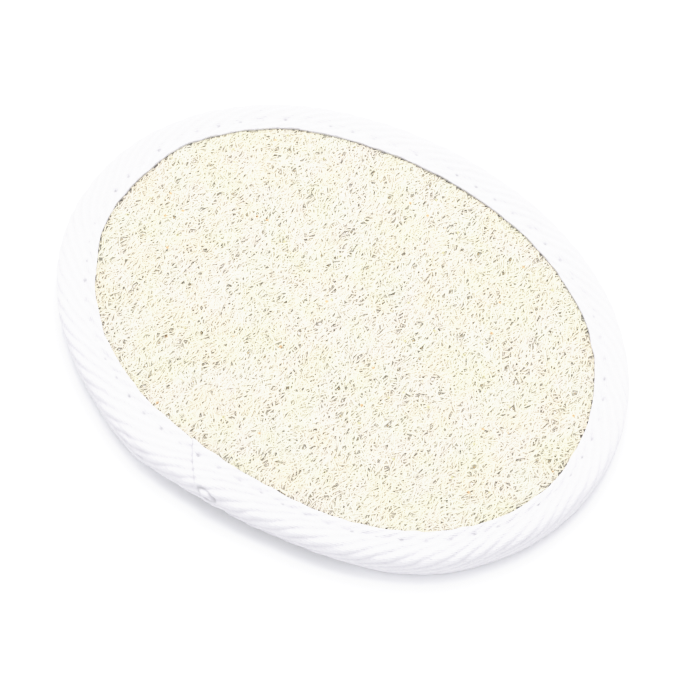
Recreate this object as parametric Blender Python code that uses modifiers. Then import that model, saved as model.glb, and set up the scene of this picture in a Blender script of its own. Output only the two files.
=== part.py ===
"""Oval loofah bath pad: a raised net of loofah fibre, bound with a folded cotton tape and sewn.

Units are metres, +Z is up, and the pad lies flat with the underside of its tape on Z = 0.
Places on the oval are given by an angle, counter-clockwise from the +X end, and an inset,
the distance inwards from the oval's outline.
"""
import math

import bmesh
import bpy
import numpy as np
from mathutils import Vector

MM = 0.001
MERGE_DISTANCE = 0.01 * MM
SHARP_ANGLE = math.radians(50)   # edges that turn more than this stay sharp in shading
RIM_SAMPLES = 1441               # places at which the rim's length is measured

# Colour and roughness of each material
WHITE_COTTON = ((0.93, 0.93, 0.95), 0.85)
WHITE_THREAD = ((0.95, 0.95, 0.94), 0.6)
LOOFAH_FIBRE = ((0.90, 0.86, 0.68), 0.8)

# The bound pad as a whole, measured over the valleys of the tape's weave
HALF_LENGTH = 70.3 * MM
HALF_WIDTH = 53.3 * MM
THICKNESS = 10.3 * MM

# Low waves, each as (waves round the oval, height, angle of a crest in degrees).
# The first pair makes the outline a little squarer and lopsided, as a hand-cut pad is.
OUTLINE_WAVES = ((3, 0.2 * MM, -45), (4, 0.45 * MM, -45))
# These move the tape's inner edge outwards, because the tape is folded on by hand.
EDGE_WAVES = ((1, 0.6 * MM, 0), (2, 0.4 * MM, -48), (3, 0.4 * MM, -33), (4, 0.8 * MM, -44))

# The binding tape, folded round the rim
TAPE_THICKNESS = 0.9 * MM
TAPE_FLAP = 8.4 * MM             # from the outline to the tape's inner edge
RIM_DEPTH = 2.9 * MM             # how far in the rim's rounding reaches
RIM_STEPS = 4                    # strips of faces over the rounding
RIB_COUNT = 64                   # diagonal ribs of the twill, counted round the rim
RIB_HEIGHT = 0.35 * MM
RIB_SLANT = math.radians(25)     # between a rib and the tape's length
RIBS_FULL_FROM = math.radians(-25)  # turn of the rim, from -90 at the underside, where they stand fully
SELVEDGE_RIBS = 0.6              # share of their height at the tape's woven edge

# The tape's end, laid over its beginning
OVERLAP_ANGLE = math.radians(-98)
OVERLAP_LENGTH = 17.0 * MM
OVERLAP_STEP = 3.6 * MM
OVERLAP_RIM_SHARE = 0.4          # of the lift that shows at the rim, where the tape is pulled tight
OVERLAP_FALL = 0.6               # share of the overlap over which it eases back to a single tape

# The seam through both flaps of the tape
SEAM_FROM_EDGE = 2.4 * MM
SEAM_DEPTH = 0.6 * MM
SEAM_HALF_WIDTH = 0.8 * MM
STITCH_COUNT = 66
THREAD_RADIUS = 0.2 * MM
THREAD_DEPTH = 0.26 * MM         # of its middle below the tape's face
THREAD_DIP = 0.05 * MM

# The loofah
CELL_LENGTH = 5.5 * MM           # of a mesh of the net, along Y, the way most fibres run
CELL_WIDTH = 3.8 * MM
CELL_JITTER = 0.24               # share of a cell that a knot of the net may stray
BRICK_SHIFT = 0.25               # share of a cell by which every other row is pushed along
CELL_KEPT_TO = 0.975             # share of the way to the net's edge that a cell's middle may reach
KNOTS_KEPT_TO = 0.95             # and that a knot inside the edge may reach
EDGE_EVENING = 12                # rounds of evening out the knots along the edge
ROW_WANDER = 1.6 * MM            # how far whole rows and columns of the net weave about
ROW_WANDER_LENGTH = 31 * MM
ROW_SLANTS = (0.4, -0.3)         # slope of the wander's crests along the columns and the rows
PIT_SHARE = 0.5                  # floor of a pit as a share of its mesh
PIT_DEPTH = 1.3 * MM
PIT_DEPTH_RANGE = (0.7, 1.2)     # shares of the depth
CREST_WANDER = 0.3 * MM
FACE_CREST = 9.9 * MM            # mean height of the net's crests
EDGE_CREST = 8.2 * MM             # height of the net beside the tape
EDGE_GAP = 0.4 * MM              # from the tape's inner edge to the net
BOUND_LEVEL = 8.1 * MM           # top of the loofah that the tape squeezes
BOUND_INSET = 2.8 * MM
WAIST_INSET = 1.5 * MM
NET_SEED = 41


def swell(angle, waves):
    """Sum of the low waves at this angle."""
    return sum(height * math.cos(count * (angle - math.radians(crest))) for count, height, crest in waves)


def oval_place(angle, inset):
    """X and Y of the place at this angle and inset."""
    normal = Vector((math.cos(angle) / HALF_LENGTH, math.sin(angle) / HALF_WIDTH)).normalized()
    reach = swell(angle, OUTLINE_WAVES) - inset
    return (HALF_LENGTH * math.cos(angle) + normal.x * reach,
            HALF_WIDTH * math.sin(angle) + normal.y * reach)


def tape_inset(angle):
    """Inset of the tape's inner edge."""
    return TAPE_FLAP + swell(angle, OUTLINE_WAVES) - swell(angle, EDGE_WAVES)


def walk_rim():
    """Angles and the lengths along the rim that belong to them."""
    angles = np.linspace(0, 2 * math.pi, RIM_SAMPLES)
    places = np.array([oval_place(angle, 0) for angle in angles])
    steps = np.linalg.norm(np.diff(places, axis=0), axis=1)
    return angles, np.concatenate([[0], np.cumsum(steps)])


ANGLES, LENGTHS = walk_rim()
RIM_LENGTH = LENGTHS[-1]


def angle_at(length):
    """Angle of the place this far along the rim."""
    return float(np.interp(length % RIM_LENGTH, LENGTHS, ANGLES))


def smooth(value):
    """Rise from 0 to 1 with level ends."""
    value = min(max(value, 0), 1)
    return value * value * (3 - 2 * value)


def overlap_lift(length):
    """How far the doubled tape stands up: a step at its end, then a long fall to the single tape."""
    start = np.interp(OVERLAP_ANGLE % (2 * math.pi), ANGLES, LENGTHS)
    along = (length - start) % RIM_LENGTH
    rise = smooth(along / OVERLAP_STEP)
    fall = smooth((OVERLAP_LENGTH - along) / (OVERLAP_FALL * OVERLAP_LENGTH))
    return TAPE_THICKNESS * rise * fall


def tape_section(angle):
    """The tape's outer face across its width, from the lower inner edge over the rim to the upper one.

    Each place is (inset, height, outward direction, share of the rib height, share of the lift).
    A flap is a list of (inset, depth, share of the rib height), and the underside has no ribs.
    """
    edge = tape_inset(angle)
    seam = edge - SEAM_FROM_EDGE
    flap = ((edge, 0, SELVEDGE_RIBS), (seam + SEAM_HALF_WIDTH, 0, 1),
            (seam, SEAM_DEPTH, 0), (seam - SEAM_HALF_WIDTH, 0, 1))
    section = [(inset, depth, (0, 0), 0, 0) for inset, depth, _ in flap]
    for step in range(RIM_STEPS + 1):
        turn = math.radians(-90 + 180 * step / RIM_STEPS)
        inset = RIM_DEPTH * (1 - math.cos(turn))
        height = THICKNESS / 2 * (1 + math.sin(turn))
        ribs = smooth((turn + math.pi / 2) / (RIBS_FULL_FROM + math.pi / 2))
        lift = smooth((turn + math.pi / 2) / math.pi)
        lift *= OVERLAP_RIM_SHARE + (1 - OVERLAP_RIM_SHARE) * max(math.sin(turn), 0)
        section.append((inset, height, (math.cos(turn), math.sin(turn)), ribs, lift))
    for inset, depth, ribs in reversed(flap):
        section.append((inset, THICKNESS - depth, (0, 1), ribs, 1))
    return section


def section_widths():
    """Length along the section of each of its places, for a tape of even width."""
    places = [(inset, height) for inset, height, *_ in tape_section(math.pi / 2)]
    steps = [math.dist(first, second) for first, second in zip(places, places[1:])]
    return [sum(steps[:count]) for count in range(len(places))]


def material(name, colour, roughness):
    """Principled material of one colour."""
    surface = bpy.data.materials.new(name)
    surface.use_nodes = True
    shader = surface.node_tree.nodes["Principled BSDF"]
    shader.inputs["Base Color"].default_value = (*colour, 1)
    shader.inputs["Roughness"].default_value = roughness
    shader.inputs["Metallic"].default_value = 0
    surface.diffuse_color = (*colour, 1)
    return surface


def add_object(name, data, surface, collection, origin):
    """Object with its material, hung on the pad's origin."""
    data.materials.append(surface)
    part = bpy.data.objects.new(name, data)
    collection.objects.link(part)
    part.parent = origin
    return part


def make_tape(surface, collection, origin):
    """Twill tape as a grid wrapped round the rim, its rows of faces slanted along the ribs.

    Every second line across the grid is the crest of a rib.
    """
    widths = section_widths()
    stations = 2 * RIB_COUNT
    rows = len(widths)
    mesh = bmesh.new()
    bmesh.ops.create_grid(mesh, x_segments=stations, y_segments=rows - 1, size=0.5)
    for vert in mesh.verts:
        station = round((vert.co.x + 0.5) * stations) % stations
        row = round((vert.co.y + 0.5) * (rows - 1))
        length = RIM_LENGTH * station / stations + widths[row] / math.tan(RIB_SLANT)
        angle = angle_at(length)
        inset, height, outward, ribs, lift = tape_section(angle)[row]
        rise = lift * overlap_lift(length)
        if station % 2 == 0:
            rise += ribs * RIB_HEIGHT
        x, y = oval_place(angle, inset - rise * outward[0])
        vert.co = (x, y, height + rise * outward[1])
    bmesh.ops.remove_doubles(mesh, verts=mesh.verts, dist=MERGE_DISTANCE)
    bmesh.ops.recalc_face_normals(mesh, faces=mesh.faces)
    data = bpy.data.meshes.new("binding_tape")
    mesh.to_mesh(data)
    mesh.free()
    data.shade_smooth()
    data.set_sharp_from_angle(angle=SHARP_ANGLE)
    tape = add_object("binding_tape", data, surface, collection, origin)
    wall = tape.modifiers.new("tape thickness", "SOLIDIFY")
    wall.thickness = TAPE_THICKNESS
    wall.offset = -1
    return tape


def make_thread(name, top, surface, collection, origin):
    """Sewing thread round one face of the tape, dipping where each stitch goes down."""
    curve = bpy.data.curves.new(name, "CURVE")
    curve.dimensions = "3D"
    curve.bevel_depth = THREAD_RADIUS
    curve.bevel_resolution = 0
    curve.use_fill_caps = True
    spline = curve.splines.new("POLY")
    stations = 2 * STITCH_COUNT
    spline.points.add(stations - 1)
    spline.use_cyclic_u = True
    for station, point in enumerate(spline.points):
        length = RIM_LENGTH * station / stations
        angle = angle_at(length)
        x, y = oval_place(angle, tape_inset(angle) - SEAM_FROM_EDGE)
        depth = THREAD_DEPTH + (THREAD_DIP if station % 2 else -THREAD_DIP)
        z = THICKNESS - depth + overlap_lift(length) if top else depth
        point.co = (x, y, z, 1)
    return add_object(name, curve, surface, collection, origin)


def net_inset(angle):
    """Inset of the net's edge, just inside the tape."""
    return tape_inset(angle) + EDGE_GAP


def inside_net(x, y):
    """Angle of a place, and its distance from the middle as a share of the way to the net's edge."""
    angle = math.atan2(y / HALF_WIDTH, x / HALF_LENGTH)
    edge = oval_place(angle, net_inset(angle))
    return angle, math.hypot(x, y) / math.hypot(*edge)


def fit_to_oval(mesh, kept_angle):
    """Put the open edge of the clipped net on the oval, evened out along it, and the rest within it."""
    edge = [min((vert for vert in mesh.verts if vert.is_boundary), key=lambda vert: (vert.co.y, vert.co.x))]
    last = None
    while True:
        ways = [line for line in edge[-1].link_edges if line.is_boundary and line is not last]
        last = ways[0]
        following = last.other_vert(edge[-1])
        if following is edge[0]:
            break
        edge.append(following)
    angles = np.unwrap([inside_net(vert.co.x, vert.co.y)[0] for vert in edge])
    turn = 2 * math.pi * np.sign(angles[-1] - angles[0])
    for _ in range(EDGE_EVENING):
        before = np.concatenate([[angles[-1] - turn], angles[:-1]])
        after = np.concatenate([angles[1:], [angles[0] + turn]])
        angles = (before + 2 * angles + after) / 4
    for vert in mesh.verts:
        _, share = inside_net(vert.co.x, vert.co.y)
        if share > KNOTS_KEPT_TO:
            vert.co *= KNOTS_KEPT_TO / share
    for vert, angle in zip(edge, angles):
        vert[kept_angle] = angle
        vert.co = (*oval_place(angle, net_inset(angle)), 0)


def extend_wall(mesh, edges, kept_angle, inset_at, height):
    """Draw the open edges out to this inset and height, and return the new open edges."""
    grown = bmesh.ops.extrude_edge_only(mesh, edges=edges)["geom"]
    for vert in grown:
        if isinstance(vert, bmesh.types.BMVert):
            angle = vert[kept_angle]
            vert.co = (*oval_place(angle, inset_at(angle)), height)
    return [edge for edge in grown if isinstance(edge, bmesh.types.BMEdge)]


def sink_pits(mesh, faces, outward, random):
    """Raise the net's knots to the face's height and sink a pit in each mesh between its strands."""
    middle = THICKNESS / 2
    knots = {vert for face in faces for vert in face.verts}
    for vert in sorted(knots, key=lambda knot: knot.index):
        crest = EDGE_CREST if vert.is_boundary else FACE_CREST + random.uniform(-1, 1) * CREST_WANDER
        vert.co.z = middle + outward * (crest - middle)
    for floor in bmesh.ops.extrude_discrete_faces(mesh, faces=faces)["faces"]:
        centre = floor.calc_center_median()
        depth = PIT_DEPTH * random.uniform(*PIT_DEPTH_RANGE)
        for vert in floor.verts:
            vert.co = centre.lerp(vert.co, PIT_SHARE)
            vert.co.z -= outward * depth


def make_loofah(surface, collection, origin):
    """Loofah as one body: a straying net of meshes on both faces and a squeezed edge inside the tape."""
    random = np.random.default_rng(NET_SEED)
    reach_x = HALF_LENGTH - TAPE_FLAP
    reach_y = HALF_WIDTH - TAPE_FLAP
    across = round(2 * reach_x / CELL_WIDTH)
    along = round(2 * reach_y / CELL_LENGTH)
    mesh = bmesh.new()
    kept_angle = mesh.verts.layers.float.new("angle")
    bmesh.ops.create_grid(mesh, x_segments=across, y_segments=along, size=0.5)
    for vert in mesh.verts:
        column = round((vert.co.x + 0.5) * across)
        row = round((vert.co.y + 0.5) * along)
        brick = BRICK_SHIFT if row % 2 else -BRICK_SHIFT
        stray = random.uniform(-CELL_JITTER, CELL_JITTER, 2)
        x = (column - across / 2 + brick + stray[0]) * 2 * reach_x / across
        y = (row - along / 2 + stray[1]) * 2 * reach_y / along
        turn = 2 * math.pi / ROW_WANDER_LENGTH
        vert.co = (x + ROW_WANDER * math.sin(turn * (y + ROW_SLANTS[0] * x)),
                   y + ROW_WANDER * math.sin(turn * (x + ROW_SLANTS[1] * y)), 0)

    outside = [face for face in mesh.faces if inside_net(*face.calc_center_median().xy)[1] > CELL_KEPT_TO]
    bmesh.ops.delete(mesh, geom=outside, context="FACES")
    fit_to_oval(mesh, kept_angle)
    mesh.verts.index_update()
    under = list(mesh.faces)
    copied = bmesh.ops.duplicate(mesh, geom=under)["geom"]
    upper = [part for part in copied if isinstance(part, bmesh.types.BMFace)]
    mesh.verts.index_update()
    under_edges = [edge for edge in mesh.edges if edge.is_boundary and edge.link_faces[0] in set(under)]

    sink_pits(mesh, under, -1, random)
    sink_pits(mesh, upper, 1, random)
    wall = extend_wall(mesh, under_edges, kept_angle, lambda angle: BOUND_INSET, THICKNESS - BOUND_LEVEL)
    wall = extend_wall(mesh, wall, kept_angle, lambda angle: WAIST_INSET, THICKNESS / 2)
    wall = extend_wall(mesh, wall, kept_angle, lambda angle: BOUND_INSET, BOUND_LEVEL)
    extend_wall(mesh, wall, kept_angle, net_inset, EDGE_CREST)
    bmesh.ops.remove_doubles(mesh, verts=mesh.verts, dist=MERGE_DISTANCE)
    bmesh.ops.recalc_face_normals(mesh, faces=mesh.faces)
    if mesh.calc_volume(signed=True) < 0:
        bmesh.ops.reverse_faces(mesh, faces=mesh.faces)
    data = bpy.data.meshes.new("loofah_pad")
    mesh.to_mesh(data)
    mesh.free()
    return add_object("loofah_pad", data, surface, collection, origin)


def centre_on_origin(origin, tape):
    """Move the pad so that the middle of the tape's own box stands over the origin."""
    corners = np.array([vert.co for vert in tape.data.vertices])
    middle = (corners.min(axis=0) + corners.max(axis=0)) / 2
    origin.location = (-middle[0], -middle[1], 0)


def main():
    """Clear the file and build the pad."""
    for old in list(bpy.data.objects):
        bpy.data.objects.remove(old)
    collection = bpy.data.collections.new("loofah_bath_pad")
    bpy.context.scene.collection.children.link(collection)
    origin = bpy.data.objects.new("pad_origin", None)
    collection.objects.link(origin)

    cotton = material("white_cotton", *WHITE_COTTON)
    thread = material("white_thread", *WHITE_THREAD)
    loofah = material("loofah_fibre", *LOOFAH_FIBRE)
    make_loofah(loofah, collection, origin)
    tape = make_tape(cotton, collection, origin)
    make_thread("needle_thread", True, thread, collection, origin)
    make_thread("bobbin_thread", False, thread, collection, origin)
    centre_on_origin(origin, tape)


main()
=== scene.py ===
import math

import bpy
import numpy as np
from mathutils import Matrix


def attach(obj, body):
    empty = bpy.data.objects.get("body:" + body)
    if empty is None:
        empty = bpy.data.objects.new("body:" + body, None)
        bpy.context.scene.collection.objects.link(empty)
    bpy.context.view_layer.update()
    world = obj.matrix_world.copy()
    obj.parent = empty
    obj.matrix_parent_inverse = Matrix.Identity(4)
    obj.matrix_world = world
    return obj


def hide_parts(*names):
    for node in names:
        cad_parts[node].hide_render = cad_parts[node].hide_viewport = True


# Oval loofah bath pad: a mat of loofah fibres bound with a folded cotton tape, on a pale studio floor.
# Lengths are metres. A place on the pad is an angle, counter-clockwise from its +X end, and an inset,
# the distance inwards from the oval's outline.

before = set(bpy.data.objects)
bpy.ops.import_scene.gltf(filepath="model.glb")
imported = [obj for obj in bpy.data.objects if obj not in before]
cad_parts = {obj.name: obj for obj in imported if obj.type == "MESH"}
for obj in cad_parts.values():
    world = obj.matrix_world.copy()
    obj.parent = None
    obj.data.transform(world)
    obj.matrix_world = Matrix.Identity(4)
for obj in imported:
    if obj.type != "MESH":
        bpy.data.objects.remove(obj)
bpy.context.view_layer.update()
mm = 0.001
print("frame loaded:", ", ".join(sorted(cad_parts)))

# The bound pad as a whole, at the sizes of the solids that it dresses
pad = {
    "halfLength": 70.3 * mm,
    "halfWidth": 53.3 * mm,
    "thickness": 10.3 * mm,                   # over the valleys of the tape's weave
    "middle": (0.153 * mm, -0.082 * mm),      # the oval's own middle, beside the frame's origin
    "outlineWaves": ((3, 0.2 * mm, -45), (4, 0.45 * mm, -45)),   # waves round the oval, height, a crest's angle
    "edgeWaves": ((1, 0.6 * mm, 0), (2, 0.4 * mm, -48), (3, 0.4 * mm, -33), (4, 0.8 * mm, -44)),
    "rimSamples": 2881,
}


def swell(angle, waves):
    # sum over the waves of height * cos(count * (angle - crest))
    return sum(height * np.cos(count * (angle - math.radians(crest))) for count, height, crest in waves)


def ovalPlace(angle, inset):
    # the ellipse's point at this angle, moved along its normal by the outline's waves less the inset
    normalX, normalY = np.cos(angle) / pad["halfLength"], np.sin(angle) / pad["halfWidth"]
    size = np.hypot(normalX, normalY)
    reach = swell(angle, pad["outlineWaves"]) - inset
    return (pad["middle"][0] + pad["halfLength"] * np.cos(angle) + normalX / size * reach,
            pad["middle"][1] + pad["halfWidth"] * np.sin(angle) + normalY / size * reach)


def walkRim():
    # angles round the oval, and the summed length of the steps between their places
    angles = np.linspace(0, 2 * math.pi, pad["rimSamples"])
    x, y = ovalPlace(angles, 0)
    steps = np.hypot(np.diff(x), np.diff(y))
    return angles, np.concatenate([[0], np.cumsum(steps)])


rimAngles, rimLengths = walkRim()
rimLength = rimLengths[-1]


def angleAt(length):
    # angle of the place this far along the rim
    return np.interp(length % rimLength, rimLengths, rimAngles)


def smooth(value):
    # 3 v^2 - 2 v^3 between 0 and 1
    value = np.clip(value, 0, 1)
    return value * value * (3 - 2 * value)


def lattice(x, y, size, seed):
    # values at random between -1 and 1 on a square lattice, blended smoothly between its corners
    random = np.random.default_rng(seed)
    values = random.uniform(-1, 1, (256, 256))
    column, row = np.floor(x / size).astype(int), np.floor(y / size).astype(int)
    across, along = smooth(x / size - column), smooth(y / size - row)
    low = values[column % 256, row % 256] * (1 - across) + values[(column + 1) % 256, row % 256] * across
    high = values[column % 256, (row + 1) % 256] * (1 - across) + values[(column + 1) % 256, (row + 1) % 256] * across
    return low * (1 - along) + high * along


def gridFaces(rows, columns, closedRows=False, closedColumns=False):
    # the faces between neighbours on a grid of rows by columns
    row, column = np.meshgrid(np.arange(rows - (not closedRows)), np.arange(columns - (not closedColumns)),
                              indexing="ij")
    nextRow, nextColumn = (row + 1) % rows, (column + 1) % columns
    corners = [row * columns + column, nextRow * columns + column,
               nextRow * columns + nextColumn, row * columns + nextColumn]
    return np.stack(corners, axis=-1).reshape(-1, 4)


def cornersOf(faceSets):
    return np.concatenate([faces.ravel() for faces in faceSets])


def addPiece(name, points, faceSets, surface, nodes, uv=None, marks=None):
    # mesh of these points and sets of faces, with a uv for each face corner and marks for each point
    corners = cornersOf(faceSets)
    sizes = np.concatenate([np.full(len(faces), faces.shape[1]) for faces in faceSets])
    data = bpy.data.meshes.new(name)
    data.vertices.add(len(points))
    data.vertices.foreach_set("co", np.asarray(points, np.float32).ravel())
    data.loops.add(corners.size)
    data.loops.foreach_set("vertex_index", corners.astype(np.int32))
    data.polygons.add(sizes.size)
    data.polygons.foreach_set("loop_start", (np.cumsum(sizes) - sizes).astype(np.int32))
    data.update(calc_edges=True)
    data.shade_smooth()
    if uv is not None:
        data.uv_layers.new(name="cloth").data.foreach_set("uv", np.asarray(uv, np.float32).ravel())
    for mark, values in (marks or {}).items():
        data.attributes.new(mark, "FLOAT", "POINT").data.foreach_set("value", values.astype(np.float32).ravel())
    data.materials.append(surface)
    piece = bpy.data.objects.new(name, data)
    bpy.context.scene.collection.objects.link(piece)
    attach(piece, "root")
    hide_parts(*nodes)
    print(f"{name}: {int((sizes - 2).sum())} triangles")
    return piece


# Shader building

def addNode(tree, kind, **settings):
    node = tree.nodes.new(kind)
    for name, value in settings.items():
        setattr(node, name, value)
    return node


def feed(tree, socket, value):
    # a socket takes either another socket or a plain value
    if isinstance(value, bpy.types.NodeSocket):
        tree.links.new(value, socket)
    else:
        socket.default_value = value


def compute(tree, operation, *values):
    node = addNode(tree, "ShaderNodeMath", operation=operation)
    for socket, value in zip(node.inputs, values):
        feed(tree, socket, value)
    return node.outputs[0]


def ease(tree, value, start, end):
    # smooth step of the value from 0 at start to 1 at end
    node = addNode(tree, "ShaderNodeMapRange", interpolation_type="SMOOTHSTEP")
    for socket, given in zip(node.inputs, (value, start, end)):
        feed(tree, socket, given)
    return node.outputs[0]


def blendColours(tree, share, first, second, how="MIX"):
    node = addNode(tree, "ShaderNodeMix", data_type="RGBA", blend_type=how)
    for socket, value in ((node.inputs[0], share), (node.inputs[6], first), (node.inputs[7], second)):
        feed(tree, socket, value)
    return node.outputs[2]


def newGroup(name, inputs, outputs):
    # node group whose inputs are (name, kind, value) and outputs (name, kind)
    tree = bpy.data.node_groups.new(name, "ShaderNodeTree")
    for label, kind, value in inputs:
        socket = tree.interface.new_socket(label, in_out="INPUT", socket_type="NodeSocket" + kind)
        if value is not None:
            socket.default_value = value
    for label, kind in outputs:
        tree.interface.new_socket(label, in_out="OUTPUT", socket_type="NodeSocket" + kind)
    return tree, addNode(tree, "NodeGroupInput").outputs, addNode(tree, "NodeGroupOutput").inputs


def useGroup(tree, group, **values):
    node = addNode(tree, "ShaderNodeGroup", node_tree=group)
    for name, value in values.items():
        feed(tree, node.inputs[name], value)
    return node.outputs[0]


def newMaterial(name, roughness, sheen=0.0, gloss=0.25):
    surface = bpy.data.materials.new(name)
    surface.use_nodes = True
    inputs = surface.node_tree.nodes["Principled BSDF"].inputs
    inputs["Roughness"].default_value = roughness
    inputs["Sheen Weight"].default_value = sheen
    inputs["Specular IOR Level"].default_value = gloss
    return surface, surface.node_tree, inputs


def bumped(tree, height, distance):
    node = addNode(tree, "ShaderNodeBump")
    node.inputs["Distance"].default_value = distance
    feed(tree, node.inputs["Height"], height)
    return node.outputs["Normal"]


def objectPlace(tree):
    return addNode(tree, "ShaderNodeTexCoord").outputs["Object"]


def makeMottle():
    # soft uneven tone: noise of this size, spread between 0 and 1 about its middle
    tree, given, made = newGroup("mottle", [("place", "Vector", None), ("size", "Float", 1.0), ("contrast", "Float", 1.0)],
                                 [("tone", "Float")])
    noise = addNode(tree, "ShaderNodeTexNoise")
    noise.inputs["Detail"].default_value = 3
    feed(tree, noise.inputs["Vector"], given["place"])
    feed(tree, noise.inputs["Scale"], compute(tree, "DIVIDE", 1.0, given["size"]))
    spread = compute(tree, "MULTIPLY_ADD", compute(tree, "SUBTRACT", noise.outputs["Fac"], 0.5), given["contrast"], 0.5)
    clamped = addNode(tree, "ShaderNodeClamp")
    feed(tree, clamped.inputs["Value"], spread)
    feed(tree, made["tone"], clamped.outputs[0])
    return tree


def makeFlecks():
    # small round spots: one cell in so many holds a spot of this size at its middle
    tree, given, made = newGroup("flecks", [("place", "Vector", None), ("spacing", "Float", 1.0), ("size", "Float", 0.3),
                                            ("share", "Float", 0.1)], [("mask", "Float")])
    flat = addNode(tree, "ShaderNodeVectorMath", operation="MULTIPLY")
    flat.inputs[1].default_value = (1, 1, 0.4)
    feed(tree, flat.inputs[0], given["place"])
    cells = addNode(tree, "ShaderNodeTexVoronoi")
    feed(tree, cells.inputs["Vector"], flat.outputs[0])
    feed(tree, cells.inputs["Scale"], compute(tree, "DIVIDE", 1.0, given["spacing"]))
    chance = addNode(tree, "ShaderNodeSeparateColor")
    feed(tree, chance.inputs[0], cells.outputs["Color"])
    chosen = compute(tree, "LESS_THAN", chance.outputs[0], given["share"])
    near = ease(tree, compute(tree, "DIVIDE", cells.outputs["Distance"], given["size"]), 1.0, 0.5)
    feed(tree, made["mask"], compute(tree, "MULTIPLY", chosen, near))
    return tree


mottle = makeMottle()
flecks = makeFlecks()
print("shader groups made")

# Camera, lights and floor

studio = {
    "azimuth": 32.6,              # of the camera round the pad, from -Y towards +X
    "elevation": 64.1,
    "distance": 452.9 * mm,
    "lens": 99.4,
    "sensor": 36.0,
    "padAt": (340.0, 337.4),      # the origin's pixel in a 700-pixel square picture
    "picture": 700,
    "sky": (0.965, 0.97, 1.0),
    "skyStrength": 1.14,
    "keyAt": (0.04, 0.19, 0.66),   # rightwards, away from and above the pad, as the camera sees it
    "keySize": 0.36,
    "keyPower": 3.9,
    "whiteAt": 1.3,               # light that is shown as full white
    "shoulder": ((0.35, 0.35), (0.65, 0.66), (0.85, 0.86), (1.0, 0.95), (1.12, 0.972), (1.22, 0.985)),   # light and how it shows
    "floorSize": 6.0,
    "floorTone": (0.9, 0.9, 0.905),
}


def makeCamera():
    azimuth, elevation = math.radians(studio["azimuth"]), math.radians(studio["elevation"])
    data = bpy.data.cameras.new("camera")
    data.lens = studio["lens"]
    data.sensor_width = studio["sensor"]
    data.shift_x = 0.5 - studio["padAt"][0] / studio["picture"]
    data.shift_y = studio["padAt"][1] / studio["picture"] - 0.5
    data.clip_start, data.clip_end = 0.01, 20
    camera = bpy.data.objects.new("camera", data)
    bpy.context.scene.collection.objects.link(camera)
    back = (math.sin(azimuth) * math.cos(elevation), -math.cos(azimuth) * math.cos(elevation), math.sin(elevation))
    camera.location = [studio["distance"] * part for part in back]
    camera.rotation_euler = (math.pi / 2 - elevation, 0, azimuth)
    bpy.context.scene.camera = camera


def makeLights():
    world = bpy.data.worlds.new("studio")
    world.use_nodes = True
    world.node_tree.nodes["Background"].inputs["Color"].default_value = (*studio["sky"], 1)
    world.node_tree.nodes["Background"].inputs["Strength"].default_value = studio["skyStrength"]
    bpy.context.scene.world = world
    data = bpy.data.lights.new("key", "AREA")
    data.size = studio["keySize"]
    data.energy = studio["keyPower"]
    key = bpy.data.objects.new("key", data)
    azimuth = math.radians(studio["azimuth"])
    right, away, above = studio["keyAt"]
    key.location = (right * math.cos(azimuth) - away * math.sin(azimuth),
                    right * math.sin(azimuth) + away * math.cos(azimuth), above)
    key.rotation_euler = (-key.location).to_track_quat("-Z", "Y").to_euler()
    bpy.context.scene.collection.objects.link(key)


def makeFloor():
    surface, _, inputs = newMaterial("pale_floor", 0.9, gloss=0.0)
    inputs["Base Color"].default_value = (*studio["floorTone"], 1)
    reach = studio["floorSize"] / 2
    mesh = bpy.data.meshes.new("floor")
    mesh.from_pydata([(-reach, -reach, 0), (reach, -reach, 0), (reach, reach, 0), (-reach, reach, 0)], [],
                     [(0, 1, 2, 3)])
    mesh.materials.append(surface)
    floor = bpy.data.objects.new("floor", mesh)
    bpy.context.scene.collection.objects.link(floor)


def setExposure():
    # bright lights roll off softly to white
    view = bpy.context.scene.view_settings
    view.view_transform, view.look, view.exposure, view.gamma = "Standard", "None", 0, 1
    view.use_curve_mapping = True
    curve = view.curve_mapping
    curve.white_level = (studio["whiteAt"],) * 3
    points = curve.curves[3].points
    points[0].location, points[-1].location = (0, 0), (1, 1)
    for light, shown in studio["shoulder"]:
        points.new(light / studio["whiteAt"], shown)
    curve.update()


makeCamera()
makeLights()
makeFloor()
setExposure()
print("camera, lights and floor made")

# The binding tape: one strip of twill folded over the rim, its end tucked under its beginning

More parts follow.
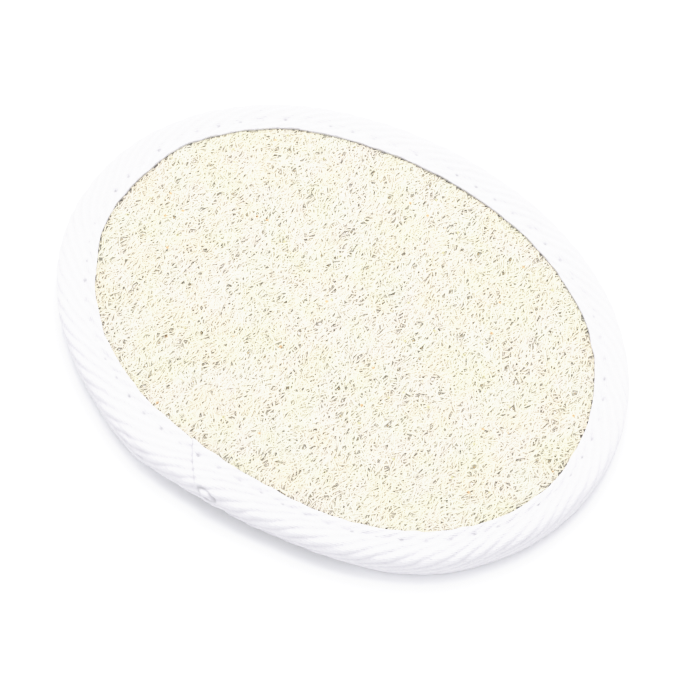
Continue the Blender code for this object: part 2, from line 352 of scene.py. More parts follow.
tape = {
    "thickness": 0.9 * mm,
    "flap": 8.4 * mm,               # from the outline to the tape's inner edge
    "rimDepth": 2.9 * mm,           # how far in the rim's rounding reaches
    "rows": (14, 52, 24),           # under the pad, over the rim and on top
    "insideRows": 12,
    "stations": 880,                # along the strip
    "foldStations": 8,
    "curlStations": 16,
    "startAngle": math.radians(-100.5),
    "slant": 1.0,                   # of the cut ends: length gained for each width across
    "overlap": 17.0 * mm,
    "overlapFall": 0.6,             # share of the overlap over which its lift dies away
    "rimShare": 0.4,                # of that lift at the rim, where the tape is pulled tight
    "startFold": 0.7 * mm,          # radius of the fold at the beginning of the upper layer
    "tuckLength": 2.0 * mm,
    "ribCount": 74,                 # diagonal ribs of the twill round the rim
    "ribSlant": math.radians(22),   # between a rib and the tape's length
    "ribHeight": 0.5 * mm,
    "ribFading": 0.25,              # share by which that height comes and goes
    "ribFadingSize": 7.0 * mm,
    "ribSink": 0.08 * mm,
    "ribSharpness": 1.5,
    "ribMiddle": 0.556,             # mean of sin^sharpness, where the ribs flatten out towards the foot
    "footEase": 0.85,
    "footEaseTurn": math.radians(32),
    "footEaseFrom": math.radians(10),
    "ribWander": ((9.0 * mm, 0.2), (3.6 * mm, 0.11), (1.7 * mm, 0.05)),   # size and share of a rib by which its line strays
    "pressedTurn": math.radians(65),   # of the rim above the floor, over which the ribs rise again
    "selvedge": 1.1 * mm,           # woven edge where the ribs are lower
    "selvedgeRibs": 0.7,
    "rimStray": ((0, -0.7), (15, -0.4), (45, -0.2), (75, 0), (215, 0), (225, -0.2), (236, -0.1), (247, 0.6), (252, 0.95),
                 (257, 0.5), (262, -0.1), (267, -0.6), (272, -1.2), (285, -1.15), (300, -0.7), (315, -0.5), (328, -1.0),
                 (345, -1.1)),
    "edgeStray": ((0, -0.05), (20, -0.3), (40, -0.35), (60, -0.1), (85, -0.3), (105, -0.15), (125, -0.5), (140, -0.5),
                  (155, -0.9), (172, -0.25), (190, -0.5), (210, 0.3), (240, -0.3), (262, -0.15), (275, 0.3), (295, 0.05),
                  (320, 0.35)),    # angle, and how much further out or in than the waves (mm)
    "footShade": ((250, 0), (268, 0.78), (290, 0.65), (303, 0)),   # painted shade on the foot under the doubled rim
    "footTurn": math.radians(25),
    "undercut": ((0, -0.7), (20, -0.3), (60, 0.3), (200, 0.3), (230, -0.9), (248, -0.9), (266, 2.4), (288, 2.4),
                 (306, -0.9), (345, -1.1)),   # of the rim's foot
    "undercutTurn": math.radians(70),
    "shoulder": (0.5 * mm, 45, 26),     # fuller part of the rim: height, turn and reach
    "creases": ((243, 257, 48, 40, 0.25, 0.5), (247, 256, 14, 12, 0.22, 0.4), (269, 292, 8, 0, 0.4, 0.4)),
    "edgeWander": 0.16 * mm,
    "edgeWanderSize": 4.0 * mm,
    "seamFromEdge": 2.4 * mm,
    "seamDepth": 0.3 * mm,
    "seamHalfWidth": 0.8 * mm,
    "stitchCount": 66,
    "holeDepth": 0.4 * mm,
    "holeRadii": (0.5 * mm, 0.28 * mm),   # along and across the seam
    "holeRange": (0.25, 1.0),       # how far each hole is drawn open
    "pucker": 0.1 * mm,             # swelling of the cloth between two stitches
    "puckerReach": 3.0 * mm,
    "curlAt": (2.2 * mm, 8.7 * mm),   # small lump of the folded corner: from the fold, and from the upper edge
    "curlRadii": (1.6 * mm, 0.9 * mm),
    "curlHeight": 0.32 * mm,
    "curlMoat": 0.35 * mm,
    "curlWall": 0.3,
    "curlShade": 0.5,               # painted shade of the moat round it
}


def strayAt(angle, table):
    # smooth steps between the values given at some angles round the pad
    degrees = np.degrees(angle) % 360
    places, values = np.array(table, float).T
    places = np.concatenate([places, [places[0] + 360]])
    values = np.append(values, values[0])
    index = np.clip(np.searchsorted(places, degrees, side="right") - 1, 0, len(table) - 1)
    share = smooth((degrees - places[index]) / (places[index + 1] - places[index]))
    return (values[index] * (1 - share) + values[index + 1] * share) * mm


def tapeInset(angle):
    return tape["flap"] + swell(angle, pad["outlineWaves"]) - swell(angle, pad["edgeWaves"]) \
        + strayAt(angle, tape["edgeStray"])


def walkSection():
    # width across the rim's rounding, a half ellipse of the rim's depth and half the pad's thickness
    turn = np.linspace(-math.pi / 2, math.pi / 2, 721)
    inset, height = tape["rimDepth"] * (1 - np.cos(turn)), pad["thickness"] / 2 * np.sin(turn)
    return turn, np.concatenate([[0], np.cumsum(np.hypot(np.diff(inset), np.diff(height)))])


rimTurns, rimWidths = walkSection()
startLength = float(np.interp(tape["startAngle"] % (2 * math.pi), rimAngles, rimLengths))
ribPitch = rimLength / tape["ribCount"]             # along the tape
ribPitchAcross = ribPitch * math.tan(tape["ribSlant"])


def layRows():
    # for each row across the strip, from the lower inner edge over the rim to the upper one: the face that it
    # lies on (-1 below, 0 rim, 1 above), the share of the flap from the rim to it, and its turn round the rim
    below, rim, above = tape["rows"]
    face = np.repeat([-1, 0, 1], [below, rim, above])
    out = np.concatenate([np.linspace(1, 0, below, endpoint=False), np.zeros(rim), np.linspace(0, 1, above + 1)[1:]])
    turn = np.concatenate([np.full(below, -math.pi / 2), np.linspace(-math.pi / 2, math.pi / 2, rim),
                           np.full(above, math.pi / 2)])
    return face, out, turn


def overlapLift(along):
    return tape["thickness"] * smooth((tape["overlap"] - along) / (tape["overlapFall"] * tape["overlap"]))


def ribPlace(length, width):
    # counts of ribs along and across, the line of each rib straying a little
    stray = sum(share * lattice(length, width, size, seed) for seed, (size, share) in enumerate(tape["ribWander"], 31))
    return length / ribPitch + stray, width / ribPitchAcross


def tapeRelief(along, length, width, fromEdge, turn, fromTop):
    # ribs sin(pi f)^sharpness over the fraction f of a rib, less a Gaussian groove along the seam and a
    # Gaussian pit at each stitch, with a cosine pucker between stitches and a ring for the curled corner
    ribsAlong, ribsAcross = ribPlace(length, width)
    phase = ribsAlong - ribsAcross
    fading = 1 - tape["ribFading"] * (1 + lattice(length, width, tape["ribFadingSize"], 35))
    rib = np.sin(math.pi * (phase - np.floor(phase))) ** tape["ribSharpness"]
    rib = rib + (tape["ribMiddle"] - rib) * tape["footEase"] * smooth((tape["footEaseFrom"] - turn) / tape["footEaseTurn"])
    high = tape["ribHeight"] * (tape["selvedgeRibs"] + (1 - tape["selvedgeRibs"]) * smooth(fromEdge / tape["selvedge"]))
    high = high * fading
    free = smooth((turn + math.pi / 2) / tape["pressedTurn"])        # 0 underneath, where the pad lies on the floor
    fromSeam = fromEdge - tape["seamFromEdge"]
    groove = np.exp(-(fromSeam / tape["seamHalfWidth"]) ** 2)
    stitch = length / rimLength * tape["stitchCount"]
    fromHole = (stitch - np.round(stitch)) * rimLength / tape["stitchCount"]
    drawn = np.random.default_rng(41).uniform(*tape["holeRange"], tape["stitchCount"])
    pit = drawn[np.round(stitch).astype(int) % tape["stitchCount"]] \
        * np.exp(-(fromHole / tape["holeRadii"][0]) ** 2 - (fromSeam / tape["holeRadii"][1]) ** 2)
    pucker = -np.cos(2 * math.pi * stitch) * np.exp(-(fromEdge / tape["puckerReach"]) ** 2)
    (curlAlong, curlDown), (radiusAlong, radiusDown) = tape["curlAt"], tape["curlRadii"]
    fromCurl = np.hypot((along - curlAlong) / radiusAlong, (fromTop - curlDown) / radiusDown)
    curl = tape["curlHeight"] * np.exp(-(fromCurl / 0.8) ** 2) \
        - tape["curlMoat"] * np.exp(-((fromCurl - 1.2) / tape["curlWall"]) ** 2)
    full, fullTurn, fullReach = tape["shoulder"]
    # painted shade: a mark that darkens the cloth's colour in the needle holes and in the moat round the curl
    hole = np.maximum(pit, tape["curlShade"] * np.exp(-((fromCurl - 1.2) / tape["curlWall"]) ** 2))
    shoulder = full * np.exp(-((np.degrees(turn) - fullTurn) / fullReach) ** 2) * (np.abs(turn) < math.pi / 2)
    crease = 0
    degrees = np.degrees(angleAt(length))
    for first, last, startTurn, endTurn, depth, reach in tape["creases"]:
        way = (degrees - first) / (last - first)
        line = np.interp(np.radians(startTurn + (endTurn - startTurn) * way), rimTurns, rimWidths)
        crease = crease + depth * mm * smooth(4 * way) * smooth(4 * (1 - way)) \
            * np.exp(-((width - line) / (reach * mm)) ** 2)
    rise = high * (rib - 1 + free) * (1 - 0.4 * groove) - tape["ribSink"] * free - tape["seamDepth"] * groove \
        - tape["holeDepth"] * pit + tape["pucker"] * pucker * free + curl - crease + shoulder
    return np.where(free > 0, rise, np.minimum(rise, 0)), hole, ribsAlong, ribsAcross


def closeEnd(station, columns, rows, picked, reverse):
    # faces between the outer rows and the inner ones across one cut end of the strip
    nearest = np.searchsorted(picked, np.arange(rows), side="right") - 1
    base = station * columns
    outer, inner = base + np.arange(rows), base + rows + len(picked) - 1 - nearest
    same = inner[1:] == inner[:-1]
    thirds = np.stack([outer[:-1], outer[1:], inner[:-1]], axis=-1)[same]
    fours = np.stack([outer[:-1], outer[1:], inner[1:], inner[:-1]], axis=-1)[~same]
    return [faces[:, ::-1] if reverse else faces for faces in (fours, thirds)]


def makeTape(surface):
    # a closed section carried along the strip: its outer side is a flat flap, a half ellipse over the rim and
    # another flap, moved outwards by the relief and the overlap's lift, and its inner side is one thickness in
    face, out, turn = layRows()
    rows = face.size
    finish = rimLength + tape["overlap"]
    along = np.unique(np.concatenate([np.linspace(0, finish, tape["stations"]),
                                      np.linspace(0, 1.5 * tape["startFold"], tape["foldStations"]),
                                      np.linspace(1.5 * tape["startFold"], 2.2 * tape["curlAt"][0],
                                                  tape["curlStations"])]))[:, None]
    flat = tape["flap"] - tape["rimDepth"]
    fromTop = rimWidths[-1] + flat - np.interp(turn, rimTurns, rimWidths) - face * out * flat
    length = startLength + along + tape["slant"] * fromTop
    angle = angleAt(length)
    edge = tapeInset(angle) + tape["edgeWander"] * lattice(length, face + 0 * length, tape["edgeWanderSize"], 21)
    flat = edge - tape["rimDepth"]
    stray = strayAt(angle, tape["rimStray"]) - strayAt(angle, tape["undercut"]) * smooth(-turn / tape["undercutTurn"])
    inset = tape["rimDepth"] * (1 - np.cos(turn)) + out * flat - stray * (1 - smooth(out))
    height = pad["thickness"] / 2 * (1 + np.sin(turn))
    width = np.interp(turn, rimTurns, rimWidths) + face * out * flat
    fromEdge = np.minimum(width + flat, rimWidths[-1] + flat - width)
    relief, hole, ribsAlong, ribsAcross = tapeRelief(along, length, width, fromEdge, turn, fromTop)
    share = smooth(turn / math.pi + 0.5) * (tape["rimShare"] + (1 - tape["rimShare"]) * np.clip(np.sin(turn), 0, 1))
    lift = overlapLift(along) * share
    ahead = np.clip(along / tape["startFold"], 0, 1)
    folded = 0.4 * tape["thickness"] * (1 - np.sqrt(1 - (1 - ahead) ** 2)) * share
    sunk = smooth((along - rimLength) / tape["tuckLength"]) * tape["thickness"] * (0.15 + 0.8 * (1 - share))
    rise = relief + lift - folded - sunk
    x, y = ovalPlace(angle, inset - rise * np.cos(turn))
    outer = np.stack([x, y, height + rise * np.sin(turn)], axis=-1)
    picked = np.unique(np.round(np.linspace(0, rows - 1, tape["insideRows"])).astype(int))
    inward = (lift - sunk)[:, picked] - tape["thickness"]
    x, y = ovalPlace(angle[:, picked], inset[:, picked] - inward * np.cos(turn[picked]))
    inner = np.stack([x, y, height[picked] + inward * np.sin(turn[picked])], axis=-1)[:, ::-1]
    section = np.concatenate([outer, inner], axis=1)
    stations, columns = section.shape[:2]
    faceSets = [gridFaces(stations, columns, closedColumns=True)]
    faceSets += closeEnd(0, columns, rows, picked, False) + closeEnd(stations - 1, columns, rows, picked, True)
    ribs = np.stack([ribsAlong, ribsAcross + 0 * ribsAlong], axis=-1)
    uv = np.concatenate([ribs, ribs[:, picked][:, ::-1]], axis=1).reshape(-1, 2)[cornersOf(faceSets)]
    # painted shade on the foot under the doubled rim, joined with the painted shade of the holes and the moat
    dark = strayAt(angle, tape["footShade"]) / mm * smooth(-turn / tape["footTurn"])
    shade = 1 - (1 - hole) * (1 - dark)
    shade = np.concatenate([shade, 0 * hole[:, picked]], axis=1)
    return addPiece("binding_tape_cloth", section.reshape(-1, 3), faceSets, surface, ["binding_tape"],
                    uv=uv, marks={"shade": shade})


cotton = {
    "colour": (0.697, 0.686, 0.699, 1),
    "valley": (0.664, 0.652, 0.676, 1),      # painted shade between the yarns
    "holeTone": 0.52,                # of the light left in a needle hole
    "ribValleyShade": (0.58, 0.568, 0.592, 1),   # painted shade between two ribs
    "ribValleyShare": 0.5,
    "fuzzTone": 0.4,
    "roughness": 0.85,
    "sheen": 0.3,
    "yarnsPerRib": 5,
    "dipFrom": 0.3,                  # share of a rib, from the middle of a yarn's float to where it dips
    "yarnHeight": 0.05 * mm,
    "fuzzSize": 0.4 * mm,
    "fuzzShare": 1.4,
    "lumpSize": 1.1 * mm,
    "lumpHeight": 0.2 * mm,
    "unevenSize": 4.0 * mm,
}


def makeTwill():
    # yarns side by side across the tape, each dipping once a rib, one step further along than its neighbour
    surface, tree, inputs = newMaterial("white_twill", cotton["roughness"], cotton["sheen"])
    ribs = addNode(tree, "ShaderNodeSeparateXYZ")
    feed(tree, ribs.inputs[0], addNode(tree, "ShaderNodeUVMap", uv_map="cloth").outputs[0])
    yarn = compute(tree, "MULTIPLY", ribs.outputs["Y"], cotton["yarnsPerRib"])
    number = compute(tree, "FLOOR", yarn)
    round = compute(tree, "SINE", compute(tree, "MULTIPLY", compute(tree, "SUBTRACT", yarn, number), math.pi))
    middle = compute(tree, "DIVIDE", compute(tree, "ADD", number, 0.5), cotton["yarnsPerRib"])
    phase = compute(tree, "FRACT", compute(tree, "SUBTRACT", ribs.outputs["X"], middle))
    dip = ease(tree, compute(tree, "ABSOLUTE", compute(tree, "SUBTRACT", phase, 0.5)), cotton["dipFrom"], 0.5)
    float_ = compute(tree, "SUBTRACT", 1.0, compute(tree, "MULTIPLY", dip, 0.9))
    place = objectPlace(tree)
    fuzz = useGroup(tree, mottle, place=place, size=cotton["fuzzSize"], contrast=1.6)
    uneven = useGroup(tree, mottle, place=place, size=cotton["unevenSize"], contrast=1.5)
    yarnTop = compute(tree, "MULTIPLY", round, float_)
    height = compute(tree, "MULTIPLY_ADD", fuzz, cotton["fuzzShare"], yarnTop)
    # painted shade: the colour falls to the valley colour where the yarns dip between their floats
    tone = blendColours(tree, ease(tree, yarnTop, 0.0, 0.6), cotton["valley"], cotton["colour"])
    tone = blendColours(tree, compute(tree, "MULTIPLY", uneven, 0.06), tone, (0.55, 0.55, 0.61, 1))
    # painted shade in the valleys between the ribs, with the fuzz's random tone added on top
    acrossRib = compute(tree, "FRACT", compute(tree, "SUBTRACT", ribs.outputs["X"], ribs.outputs["Y"]))
    crest = compute(tree, "POWER", compute(tree, "SINE", compute(tree, "MULTIPLY", acrossRib, math.pi)), 1.2)
    valley = compute(tree, "MULTIPLY", compute(tree, "SUBTRACT", 1.0, crest), cotton["ribValleyShare"])
    valley = compute(tree, "MULTIPLY_ADD", fuzz, cotton["fuzzTone"], valley)
    tone = blendColours(tree, valley, tone, cotton["ribValleyShade"])
    # painted shade: the shade mark darkens the cloth in the needle holes, in the curl's moat and on the foot under the
    # doubled rim
    hole = addNode(tree, "ShaderNodeAttribute", attribute_name="shade").outputs["Fac"]
    dark = tuple(part * cotton["holeTone"] for part in cotton["colour"][:3]) + (1,)
    feed(tree, inputs["Base Color"], blendColours(tree, hole, tone, dark))
    lumps = useGroup(tree, mottle, place=place, size=cotton["lumpSize"], contrast=1.5)
    total = compute(tree, "MULTIPLY_ADD", lumps, cotton["lumpHeight"] / cotton["yarnHeight"], height)
    feed(tree, inputs["Normal"], bumped(tree, total, cotton["yarnHeight"]))
    return surface


clothTape = makeTape(makeTwill())

# The sewing threads

thread = {
    "radius": 0.17 * mm,
    "stationsPerStitch": 14,
    "sides": 8,
    "rest": 0.36 * mm,              # of its middle below the tape's face, between two stitches
    "dip": 0.95 * mm,               # further down at a stitch
    "dipReach": 0.6 * mm,
    "colour": (0.664, 0.658, 0.668, 1),
    "roughness": 0.7,
    "twistPitch": 0.9 * mm,
    "twistHeight": 0.05 * mm,
}


def makeThread(name, node, top, surface):
    # round section carried along the seam, diving into the cloth at every stitch hole
    stations, sides = tape["stitchCount"] * thread["stationsPerStitch"], thread["sides"]
    length = np.arange(stations) * rimLength / stations
    angle = angleAt(length)
    stitch = length / rimLength * tape["stitchCount"]
    fromHole = np.abs(stitch - np.round(stitch)) * rimLength / tape["stitchCount"]
    depth = thread["rest"] + thread["dip"] * np.exp(-(fromHole / thread["dipReach"]) ** 2)
    x, y = ovalPlace(angle, tapeInset(angle) - tape["seamFromEdge"])
    along = (length - startLength - tape["slant"] * tape["seamFromEdge"]) % rimLength
    z = pad["thickness"] - depth + overlapLift(along) if top else depth
    line = np.stack([x, y, z], axis=-1)
    ahead = np.roll(line, -1, axis=0) - np.roll(line, 1, axis=0)
    ahead /= np.linalg.norm(ahead, axis=1, keepdims=True)
    sideways = np.stack([-ahead[:, 1], ahead[:, 0], 0 * ahead[:, 0]], axis=-1)
    sideways /= np.linalg.norm(sideways, axis=1, keepdims=True)
    upwards = np.cross(ahead, sideways)
    turn = np.linspace(0, 2 * math.pi, sides, endpoint=False)
    ring = np.cos(turn)[None, :, None] * sideways[:, None] + np.sin(turn)[None, :, None] * upwards[:, None]
    points = line[:, None] + thread["radius"] * ring
    faces = gridFaces(stations, sides, closedRows=True, closedColumns=True)
    row, column = faces[:, 0] // sides, faces[:, 0] % sides
    step = rimLength / stations / thread["twistPitch"]
    uv = np.stack([np.stack([row, row + 1, row + 1, row], axis=-1) * step,
                   np.stack([column, column, column + 1, column + 1], axis=-1) / sides], axis=-1)
    return addPiece(name, points.reshape(-1, 3), [faces[:, ::-1]], surface, [node], uv=uv[:, ::-1])


def makeThreadMaterial():
    # two plies wound round each other: a wave that climbs once round the thread in each twist
    surface, tree, inputs = newMaterial("white_thread", thread["roughness"], 0.2)
    ply = addNode(tree, "ShaderNodeSeparateXYZ")
    feed(tree, ply.inputs[0], addNode(tree, "ShaderNodeUVMap", uv_map="cloth").outputs[0])
    turns = compute(tree, "MULTIPLY", compute(tree, "ADD", ply.outputs["X"], ply.outputs["Y"]), 2 * math.pi)
    wave = compute(tree, "ABSOLUTE", compute(tree, "SINE", turns))
    uneven = useGroup(tree, mottle, place=objectPlace(tree), size=2.0 * mm, contrast=1.5)
    tone = blendColours(tree, compute(tree, "MULTIPLY", uneven, 0.1), thread["colour"], (0.57, 0.57, 0.605, 1))
    feed(tree, inputs["Base Color"], tone)
    feed(tree, inputs["Normal"], bumped(tree, wave, thread["twistHeight"]))
    return surface


twisted = makeThreadMaterial()
needleThread = makeThread("needle_thread_stitches", "needle_thread", True, twisted)
bobbinThread = makeThread("bobbin_thread_stitches", "bobbin_thread", False, twisted)

# The loofah

loofah = {
    "feltGrid": 140,
    "feltLevel": 9.54 * mm,
    "feltEdge": 8.9 * mm,            # at its own edge, which reaches in under the tape
    "underTape": 1.4 * mm,
    "feltRough": 0.1 * mm,
    "feltRoughSize": 1.3 * mm,
    "poreSpacing": 2.7 * mm,         # between the small openings that the fibres leave free
    "poreRadius": (-0.22 * mm, 0.18 * mm),
    "poreRarity": 1.5,               # of the large ones
    "poreJitter": 0.38,
    "poreClear": 0.55,               # share of a fibre's half width kept clear of a pore
    "speckRadius": (0.15 * mm, 0.3 * mm),
    "speckStretch": 1.4,
    "speckHeight": 0.05 * mm,
    "speckSides": 6,
    "speckWithin": 0.97,
    "spacing": (0.525 * mm, 1.3 * mm),   # between the fibres of the upper mat and of the lower
    "length": (1.9 * mm, 4.6 * mm),
    "radius": (0.29 * mm, 0.435 * mm),
    "flatness": 0.3,               # height of a fibre's section as a share of its width
    "flow": 86.0,                    # degrees from +X that most fibres run in
    "flowSwirl": 16.0,
    "flowSwirlSize": 11.0 * mm,
    "flowSpread": 38.0,
    "bow": 0.14,
    "crest": (9.63 * mm, 9.79 * mm),
    "sink": (0.0 * mm, 0.12 * mm),    # of a fibre's tips below its middle
    "edgeCrest": (9.35 * mm, 9.6 * mm),
    "edgeFrom": 0.95,
    "segments": 3,
    "sides": 3,
    "roll": 0.3,                     # either way, of a fibre's ridge from straight up
}


def insideShare(x, y):
    # share of the way from the middle to the tape's inner edge
    fromX, fromY = x - pad["middle"][0], y - pad["middle"][1]
    angle = np.arctan2(fromY / pad["halfWidth"], fromX / pad["halfLength"])
    edgeX, edgeY = ovalPlace(angle, tapeInset(angle))
    return np.hypot(fromX, fromY) / np.hypot(edgeX - pad["middle"][0], edgeY - pad["middle"][1])


def poreCells(side):
    # one round pore in each cell of a square grid: how far it strays from the cell's middle, and its radius
    random = np.random.default_rng(61 + side)
    shiftX, shiftY = random.uniform(-loofah["poreJitter"], loofah["poreJitter"], (2, 256, 256))
    small, large = loofah["poreRadius"]
    return shiftX, shiftY, small + (large - small) * random.uniform(0, 1, (256, 256)) ** loofah["poreRarity"]


def fromPore(x, y, side):
    # distance from the edge of the nearest pore
    shiftX, shiftY, radius = poreCells(side)
    spacing = loofah["poreSpacing"]
    cellX, cellY = np.floor(x / spacing).astype(int), np.floor(y / spacing).astype(int)
    nearest = np.full(np.shape(x), np.inf)
    for column, row in ((cellX + i, cellY + j) for i in (-1, 0, 1) for j in (-1, 0, 1)):
        at = column % 256, row % 256
        gap = np.hypot(x - (column + 0.5 + shiftX[at]) * spacing, y - (row + 0.5 + shiftY[at]) * spacing) - radius[at]
        nearest = np.minimum(nearest, gap)
    return nearest


def feltRise(x, y, side):
    return lattice(x, y, loofah["feltRoughSize"], 5 + side) * loofah["feltRough"]


def makeFelt(surface):
    # matted body: a square grid rounded to a disc and scaled to the oval, once for each face
    count = loofah["feltGrid"]
    u, v = np.meshgrid(np.linspace(-1, 1, count), np.linspace(-1, 1, count), indexing="ij")
    discX, discY = u * np.sqrt(1 - v * v / 2), v * np.sqrt(1 - u * u / 2)
    share, angle = np.hypot(discX, discY), np.arctan2(discY, discX)
    edgeX, edgeY = ovalPlace(angle, tapeInset(angle) - loofah["underTape"])
    x = pad["middle"][0] + share * (edgeX - pad["middle"][0])
    y = pad["middle"][1] + share * (edgeY - pad["middle"][1])
    fall = smooth((share - 0.94) / 0.06)
    level = loofah["feltLevel"] + (loofah["feltEdge"] - loofah["feltLevel"]) * fall
    sides = []
    for side in (1, -1):
        z = level + feltRise(x, y, side) * (1 - fall)
        z = pad["thickness"] / 2 + side * (z - pad["thickness"] / 2)
        sides.append(np.stack([x, y, z], axis=-1).reshape(-1, 3))
    square = gridFaces(count, count)
    index = np.arange(count * count).reshape(count, count)
    ring = np.concatenate([index[:, 0], index[-1, 1:], index[-2::-1, -1], index[0, -2:0:-1]])
    following = np.roll(ring, -1)
    below = count * count
    wall = np.stack([ring, ring + below, following + below, following], axis=-1)
    return addPiece("loofah_felt", np.concatenate(sides), [square, square[:, ::-1] + below, wall], surface,
                    ["loofah_pad"])


def makeSpecks(surface):
    # painted shade at the bottom of the pores: on each a flat dark lens, a ring between one point above it and one
    # below
    spacing, sides = loofah["poreSpacing"], loofah["speckSides"]
    reach = int(pad["halfLength"] / spacing) + 1
    column, row = (part.ravel() for part in np.meshgrid(np.arange(-reach, reach + 1), np.arange(-reach, reach + 1)))
    turn, flow = np.linspace(0, 2 * math.pi, sides, endpoint=False), math.radians(loofah["flow"])
    random = np.random.default_rng(71)
    lenses = []
    for side in (1, -1):
        shiftX, shiftY, _ = (part[column % 256, row % 256] for part in poreCells(side))
        x, y = (column + 0.5 + shiftX) * spacing, (row + 0.5 + shiftY) * spacing
        inside = insideShare(x, y) < loofah["speckWithin"]
        x, y = x[inside][:, None], y[inside][:, None]
        radius = random.uniform(*loofah["speckRadius"], x.shape)
        along, across = loofah["speckStretch"] * radius * np.cos(turn), radius * np.sin(turn)
        level = loofah["feltLevel"] + feltRise(x, y, side) + loofah["speckHeight"] / 2
        level = pad["thickness"] / 2 + side * (level - pad["thickness"] / 2)
        ring = np.stack([x + along * math.cos(flow) - across * math.sin(flow),
                         y + along * math.sin(flow) + across * math.cos(flow), level + 0 * along], axis=-1)
        poles = [np.stack([x, y, level + end * loofah["speckHeight"]], axis=-1) for end in (1, -1)]
        lenses.append(np.concatenate([ring] + poles, axis=1))
    lenses = np.concatenate(lenses)
    ahead = np.roll(np.arange(sides), -1)
    above = np.stack([np.arange(sides), ahead, np.full(sides, sides)], axis=-1)
    below = np.stack([ahead, np.arange(sides), np.full(sides, sides + 1)], axis=-1)
    base = (np.arange(len(lenses)) * (sides + 2))[:, None, None]
    faces = (np.concatenate([above, below])[None] + base).reshape(-1, 3)
    return addPiece("loofah_pore_shade_specks", lenses.reshape(-1, 3), [faces], surface, ["loofah_pad"])


def makeFibres(name, surface, side, count, seed, spacing):
    # short curved fibres: centre line = middle + t * direction + bow * (1 - t^2) * sideways, crest - sink * t^2
    # high, for t from -1 to 1, with a section of few sides that thins towards both tips
    random = np.random.default_rng(seed)
    cells = int(2 * pad["halfLength"] / spacing)
    grid = np.arange(-cells, cells + 1) * spacing
    x, y = (part.ravel() for part in np.meshgrid(grid, grid))
    x = x + random.uniform(-0.5, 0.5, x.size) * spacing
    y = y + random.uniform(-0.5, 0.5, y.size) * spacing
    inside = insideShare(x, y) < 0.998
    x, y = x[inside], y[inside]
    flow = loofah["flow"] + loofah["flowSwirl"] * lattice(x, y, loofah["flowSwirlSize"], seed + 50)
    flow = np.radians(flow + random.normal(0, loofah["flowSpread"], x.size))[:, None]
    half = random.uniform(*loofah["length"], x.size)[:, None] / 2
    radius = random.uniform(*loofah["radius"], x.size)[:, None]
    bow = random.normal(0, loofah["bow"], x.size)[:, None] * half

    def centreLine(t):
        return (x[:, None] + half * t * np.cos(flow) - bow * (1 - t * t) * np.sin(flow),
                y[:, None] + half * t * np.sin(flow) + bow * (1 - t * t) * np.cos(flow))

    free = fromPore(*centreLine(np.linspace(-1, 1, 3 * loofah["segments"])), side).min(axis=1, keepdims=True)
    kept = (free > loofah["poreClear"] * radius)[:, 0]
    x, y, flow, half, radius, bow = (part[kept] for part in (x, y, flow, half, radius, bow))
    total = x.size
    high = random.uniform(0, 1, total)[:, None]
    sink = random.uniform(*loofah["sink"], total)[:, None]
    t = np.linspace(-1, 1, loofah["segments"] + 1)[None, :]
    lineX, lineY = centreLine(t)
    share = insideShare(lineX, lineY)
    pull = np.minimum(share, 1.01) / np.maximum(share, 1e-6)      # the tape holds the outermost tips
    lineX = pad["middle"][0] + (lineX - pad["middle"][0]) * pull
    lineY = pad["middle"][1] + (lineY - pad["middle"][1]) * pull
    edge = smooth((share - loofah["edgeFrom"]) / (1 - loofah["edgeFrom"]))
    low, top = ((1 - edge) * loofah["crest"][end] + edge * loofah["edgeCrest"][end] for end in (0, 1))
    lineZ = low + (top - low) * high - sink * t * t
    thin = radius * np.sqrt(np.clip(1 - np.abs(t) ** 3, 0.04, 1))
    turn = np.linspace(0, 2 * math.pi, loofah["sides"], endpoint=False)[None, None, :] \
        + math.pi / 2 + random.uniform(-loofah["roll"], loofah["roll"], total)[:, None, None]
    across = thin[:, :, None] * np.cos(turn)
    pointX = lineX[:, :, None] - across * np.sin(flow)[:, :, None]
    pointY = lineY[:, :, None] + across * np.cos(flow)[:, :, None]
    pointZ = lineZ[:, :, None] + thin[:, :, None] * np.sin(turn) * loofah["flatness"]
    pointZ = pad["thickness"] / 2 + side * (pointZ - pad["thickness"] / 2)
    points = np.stack([pointX, pointY, pointZ], axis=-1)
    rings, sides = loofah["segments"] + 1, loofah["sides"]
    tube = gridFaces(rings, sides, closedColumns=True)
    tips = np.stack([np.arange(sides), (rings - 1) * sides + np.arange(sides)[::-1]])
    if side > 0:
        tube, tips = tube[:, ::-1], tips[:, ::-1]
    tone = np.broadcast_to(random.uniform(0, 1, total)[:, None, None], pointX.shape)
    order = random.permutation(total)
    for number, chosen in enumerate(np.array_split(order, count), 1):
        base = (np.arange(chosen.size) * rings * sides)[:, None, None]
        faceSets = [(tube[None] + base).reshape(-1, 4), (tips[None] + base).reshape(-1, sides)]
        addPiece(f"{name}_{number}", points[chosen].reshape(-1, 3), faceSets, surface, ["loofah_pad"],
                 marks={"tone": tone[chosen]})


fibre = {
    "pale": (0.668, 0.633, 0.522, 1),
    "deep": (0.6, 0.56, 0.48, 1),
    "pink": (1.06, 0.96, 0.98, 1),
    "green": (0.94, 1.03, 0.93, 1),
    "cream": (1.0, 1.0, 1.1, 1),
    "straw": (1.01, 0.97, 0.83, 1),
    "ochre": (0.6, 0.41, 0.24, 1),
    "olive": (0.52, 0.49, 0.31, 1),
    "felt": (0.69, 0.66, 0.595, 1),
    # painted shade: colours of the dark lenses that stand for the shade at the bottom of the pores
    "speck": (0.42, 0.39, 0.31, 1),
    "speckBrown": (0.48, 0.37, 0.2, 1),
    "feltShade": (0.665, 0.632, 0.56, 1),
    "deepFall": 2.4,                 # of the fibres' tones: the more, the fewer deep ones
    "hueSize": 9.0 * mm,
    "depthSize": 7.0 * mm,
    "hueShare": 0.2,
    "depthShare": 0.24,
    "flecksOchre": (2.6 * mm, 0.17, 0.09),    # spacing, size as a share of it, and share of the cells
    "flecksOlive": (2.2 * mm, 0.2, 0.08),
    "grainSize": 0.25 * mm,
    "grainHeight": 0.06 * mm,
}


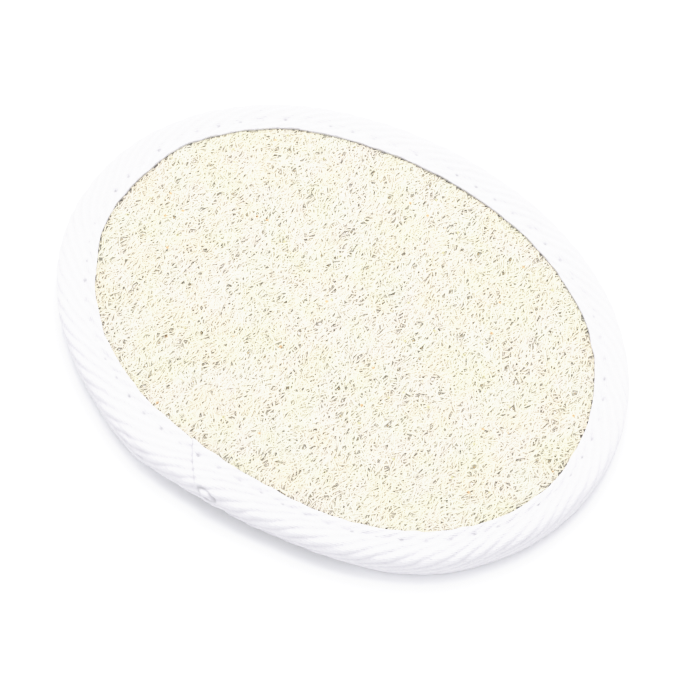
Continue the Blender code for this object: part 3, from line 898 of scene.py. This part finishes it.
def loofahTint(tree, base):
    # patches leaning towards pink or green and towards cream or straw, with ochre and olive flecks
    place = objectPlace(tree)
    hue = useGroup(tree, mottle, place=place, size=fibre["hueSize"], contrast=5.0)
    tint = blendColours(tree, fibre["hueShare"], base, blendColours(tree, hue, fibre["pink"], fibre["green"]), "MULTIPLY")
    depth = useGroup(tree, mottle, place=place, size=fibre["depthSize"], contrast=5.0)
    tint = blendColours(tree, fibre["depthShare"], tint, blendColours(tree, depth, fibre["cream"], fibre["straw"]),
                        "MULTIPLY")
    for colour in ("Ochre", "Olive"):
        spacing, size, share = fibre["flecks" + colour]
        mask = useGroup(tree, flecks, place=place, spacing=spacing, size=size, share=share)
        tint = blendColours(tree, mask, tint, fibre[colour.lower()])
    return place, tint


def makeFibreMaterial():
    surface, tree, inputs = newMaterial("loofah_strands", 0.75)
    tone = addNode(tree, "ShaderNodeAttribute", attribute_name="tone").outputs["Fac"]
    share = compute(tree, "POWER", tone, fibre["deepFall"])
    place, tint = loofahTint(tree, blendColours(tree, share, fibre["pale"], fibre["deep"]))
    feed(tree, inputs["Base Color"], tint)
    grain = useGroup(tree, mottle, place=place, size=fibre["grainSize"], contrast=2.0)
    feed(tree, inputs["Normal"], bumped(tree, grain, fibre["grainHeight"]))
    return surface


def makeFeltMaterial():
    surface, tree, inputs = newMaterial("loofah_felt", 0.85)
    grain = useGroup(tree, mottle, place=objectPlace(tree), size=2 * fibre["grainSize"], contrast=2.0)
    _, tint = loofahTint(tree, blendColours(tree, grain, fibre["felt"], fibre["feltShade"]))
    feed(tree, inputs["Base Color"], tint)
    feed(tree, inputs["Normal"], bumped(tree, grain, 2 * fibre["grainHeight"]))
    return surface


def makeSpeckMaterial():
    # painted shade: dark lenses for the shade at the bottom of the pores
    surface, tree, inputs = newMaterial("loofah_pore_shade", 0.85)
    brown = useGroup(tree, mottle, place=objectPlace(tree), size=fibre["hueSize"], contrast=5.0)
    feed(tree, inputs["Base Color"], blendColours(tree, brown, fibre["speck"], fibre["speckBrown"]))
    return surface


strands = makeFibreMaterial()
makeFelt(makeFeltMaterial())
makeSpecks(makeSpeckMaterial())
makeFibres("loofah_mat_upper", strands, 1, 3, 11, loofah["spacing"][0])
makeFibres("loofah_mat_lower", strands, -1, 1, 12, loofah["spacing"][1])
